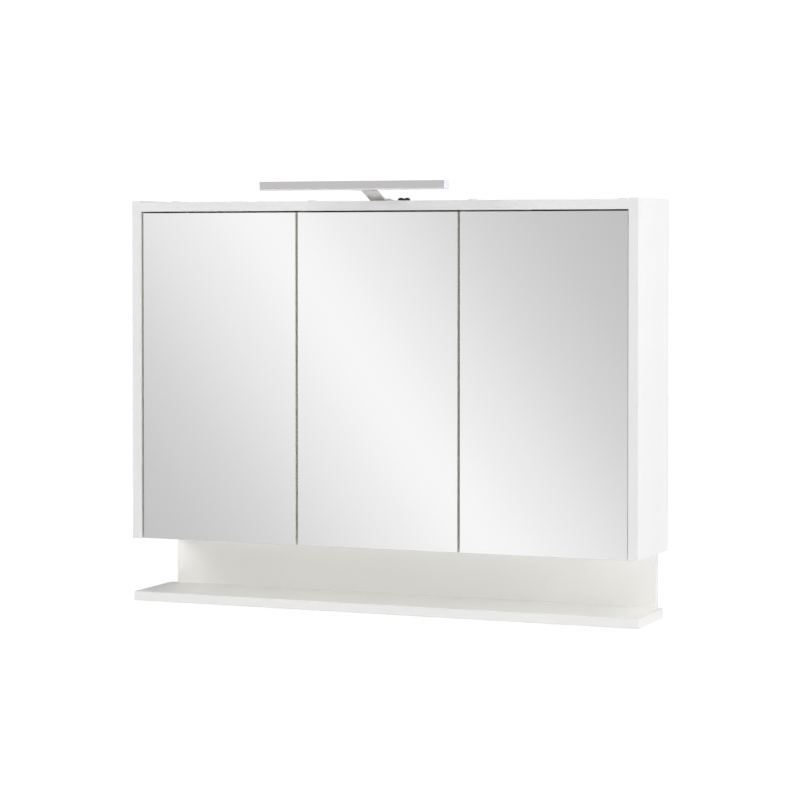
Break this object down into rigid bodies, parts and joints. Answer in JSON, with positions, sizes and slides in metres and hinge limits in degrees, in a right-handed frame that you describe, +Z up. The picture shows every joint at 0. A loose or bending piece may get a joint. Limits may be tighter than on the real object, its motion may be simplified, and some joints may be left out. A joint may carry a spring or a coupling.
{
  "type": "hanging wall cabinet",
  "caption": "White wall-hung mirror cabinet with hinged mirror doors, inner glass shelves, an LED lamp on a bent arm and an open shelf below.",
  "frame": {"origin": "centre of the four screw holes in the two wall plates, on the wall plane", "axes": "+X to the right along the wall, +Y back into the wall, +Z up"},
  "size_m": [0.9, 0.276, 0.7128],
  "materials": {
    "white_laminate": "satin white melamine-faced chipboard",
    "white_hardboard": "white painted thin hardboard",
    "mirror_glass": "silvered float glass, clear polished edges",
    "clear_glass": "clear float glass, greenish edges",
    "white_plastic": "fine moulded white",
    "clear_plastic": "soft clear",
    "diffuser_plastic": "opal",
    "black_plastic": "moulded black",
    "cast_zinc": "die-cast zinc",
    "zinc_steel": "zinc plated",
    "nickel_steel": "nickel plated",
    "beech": "fluted beech",
    "silver_aluminium": "satin anodised",
    "lamp_cap_plastic": "pale grey moulded",
    "led_board": "white lacquered circuit board with chips"
  },
  "bodies": {
    "carcass": {"back_panel": "white_hardboard", "back_strip": "white_laminate", "bottom_panel": "white_laminate", "cam_bolts": "zinc_steel", "cam_cover_caps": "white_plastic", "cam_housings": "cast_zinc", "carcass_dowels": "beech", "clamp_screws": "black_plastic", "door_bumpers": "clear_plastic", "glass_shelves_left": "clear_glass", "glass_shelves_middle": "clear_glass", "glass_shelves_right": "clear_glass", "hanger_hooks": "zinc_steel", "hanger_housings": "white_plastic", "hanger_setting_screws": "zinc_steel", "hinge_arm_pins": "nickel_steel", "hinge_plate_screws": "zinc_steel", "hinge_plates": "nickel_steel", "lamp_bracket": "silver_aluminium", "lamp_diffuser": "diffuser_plastic", "lamp_end_caps": "lamp_cap_plastic", "lamp_housing": "silver_aluminium", "lamp_lead": "white_plastic", "lamp_screws": "zinc_steel", "lead_clamp": "black_plastic", "led_driver": "white_plastic", "led_strip": "led_board", "left_hinge_arms": "nickel_steel", "lower_shelf": "white_laminate", "middle_hinge_arms": "nickel_steel", "partition_left": "white_laminate", "partition_right": "white_laminate", "partition_screws": "zinc_steel", "power_box": "white_plastic", "power_box_cover": "white_plastic", "right_hinge_arms": "nickel_steel", "shelf_pins": "zinc_steel", "shelf_screws": "zinc_steel", "side_panel_left": "white_laminate", "side_panel_right": "white_laminate", "socket_insert": "white_plastic", "top_panel": "white_laminate", "wall_plates": "zinc_steel"},
    "left_links": {"left_hinge_links": "nickel_steel"},
    "left_door": {"left_door_board": "white_laminate", "left_mirror": "mirror_glass", "left_hinge_cups": "nickel_steel", "left_cup_fasteners": "nickel_steel"},
    "middle_links": {"middle_hinge_links": "nickel_steel"},
    "middle_door": {"middle_door_board": "white_laminate", "middle_mirror": "mirror_glass", "middle_hinge_cups": "nickel_steel", "middle_cup_fasteners": "nickel_steel"},
    "right_links": {"right_hinge_links": "nickel_steel"},
    "right_door": {"right_door_board": "white_laminate", "right_mirror": "mirror_glass", "right_hinge_cups": "nickel_steel", "right_cup_fasteners": "nickel_steel"},
    "rocker": {"switch_rocker": "white_plastic"}
  },
  "joints": [
    {"name": "left_hinge_link_swing", "type": "hinge", "parent": "carcass", "child": "left_links", "pos_m": [-0.3979, -0.141, 0], "axis": [0, 0, 1], "range_deg": [0, 72], "stiffness_Nm_per_rad": 0.5, "springref_deg": -45.84},
    {"name": "left_door_on_links", "type": "hinge", "parent": "left_links", "child": "left_door", "pos_m": [-0.4171, -0.1528, 0], "axis": [0, 0, -1], "range_deg": [0, 168.5]},
    {"name": "middle_hinge_link_swing", "type": "hinge", "parent": "carcass", "child": "middle_links", "pos_m": [-0.109, -0.141, 0], "axis": [0, 0, 1], "range_deg": [0, 72], "stiffness_Nm_per_rad": 0.5, "springref_deg": -45.84},
    {"name": "middle_door_on_links", "type": "hinge", "parent": "middle_links", "child": "middle_door", "pos_m": [-0.1282, -0.1528, 0], "axis": [0, 0, -1], "range_deg": [0, 168.5]},
    {"name": "right_hinge_link_swing", "type": "hinge", "parent": "carcass", "child": "right_links", "pos_m": [0.3999, -0.141, 0], "axis": [0, 0, -1], "range_deg": [0, 72], "stiffness_Nm_per_rad": 0.5, "springref_deg": -45.84},
    {"name": "right_door_on_links", "type": "hinge", "parent": "right_links", "child": "right_door", "pos_m": [0.4191, -0.1528, 0], "axis": [0, 0, 1], "range_deg": [0, 168.5]},
    {"name": "switch_rocker_tip", "type": "hinge", "parent": "carcass", "child": "rocker", "pos_m": [0.1827, -0.141, 0.0218], "axis": [-1, 0, 0], "range_deg": [0, 12]}
  ],
  "couplings": [
    {"joint": "left_door_on_links", "follows": "left_hinge_link_swing", "ratio": 2.3333},
    {"joint": "middle_door_on_links", "follows": "middle_hinge_link_swing", "ratio": 2.3333},
    {"joint": "right_door_on_links", "follows": "right_hinge_link_swing", "ratio": 2.3333}
  ]
}
